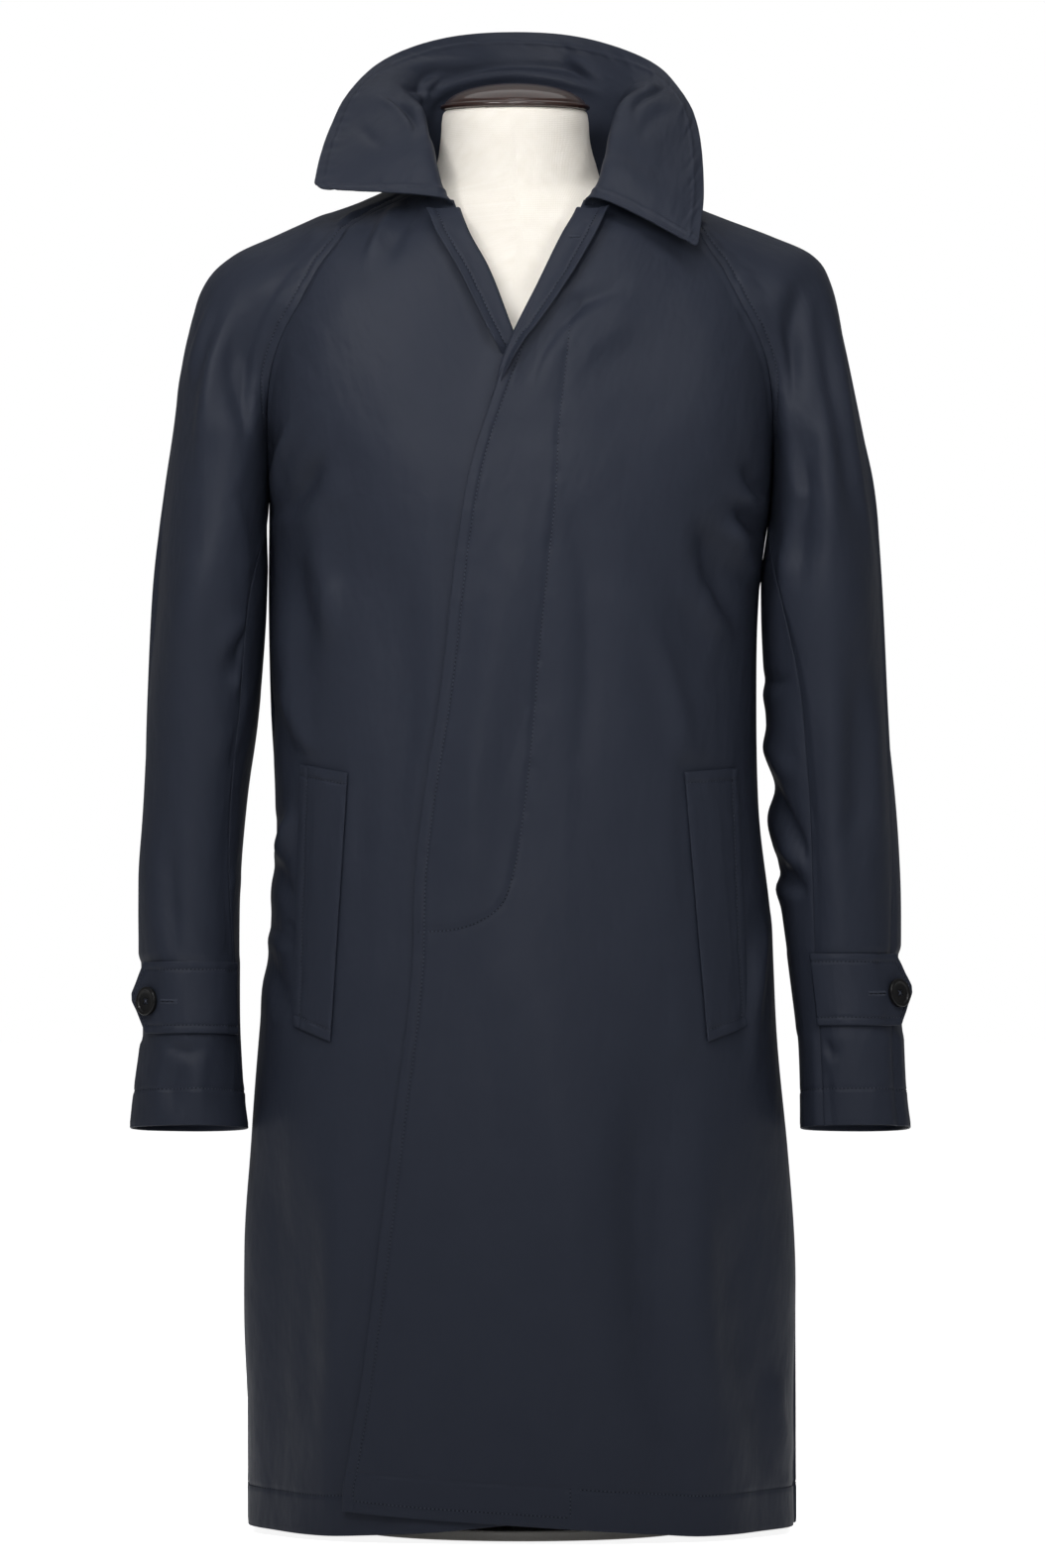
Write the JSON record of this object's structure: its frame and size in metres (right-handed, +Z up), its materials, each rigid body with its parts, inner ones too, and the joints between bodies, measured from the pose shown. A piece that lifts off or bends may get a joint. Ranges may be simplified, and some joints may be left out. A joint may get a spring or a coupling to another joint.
{
  "type": "raincoat on a dress form",
  "caption": "Knee-length fly-front raincoat with raglan sleeves, turned-up collar, slanted welt pockets and buttoned cuff straps, standing on a limbless dress form.",
  "frame": {"origin": "middle of the coat's outline at the floor, under the stand's base", "axes": "+Z up, -Y the way the coat faces, +X the wearer's left"},
  "size_m": [0.5968, 0.3357, 1.1565],
  "materials": {
    "coat_cloth": "satin",
    "button": "gloss",
    "form_canvas": "matte",
    "form_wood": "gloss",
    "form_steel": "satin",
    "form_paint": "satin"
  },
  "bodies": {
    "root": {"front_left": "coat_cloth", "front_right": "coat_cloth", "back": "coat_cloth", "sleeve_front_left": "coat_cloth", "sleeve_back_left": "coat_cloth", "sleeve_front_right": "coat_cloth", "sleeve_back_right": "coat_cloth", "collar": "coat_cloth", "facing_left": "coat_cloth", "facing_right": "coat_cloth", "pocket_welt_left": "coat_cloth", "pocket_welt_right": "coat_cloth", "cuff_strap_left": "coat_cloth", "cuff_strap_right": "coat_cloth", "cuff_button_left": "button", "cuff_button_right": "button", "form_body": "form_canvas", "form_neck_cap": "form_wood", "form_pole": "form_steel", "form_base": "form_paint"}
  },
  "joints": []
}
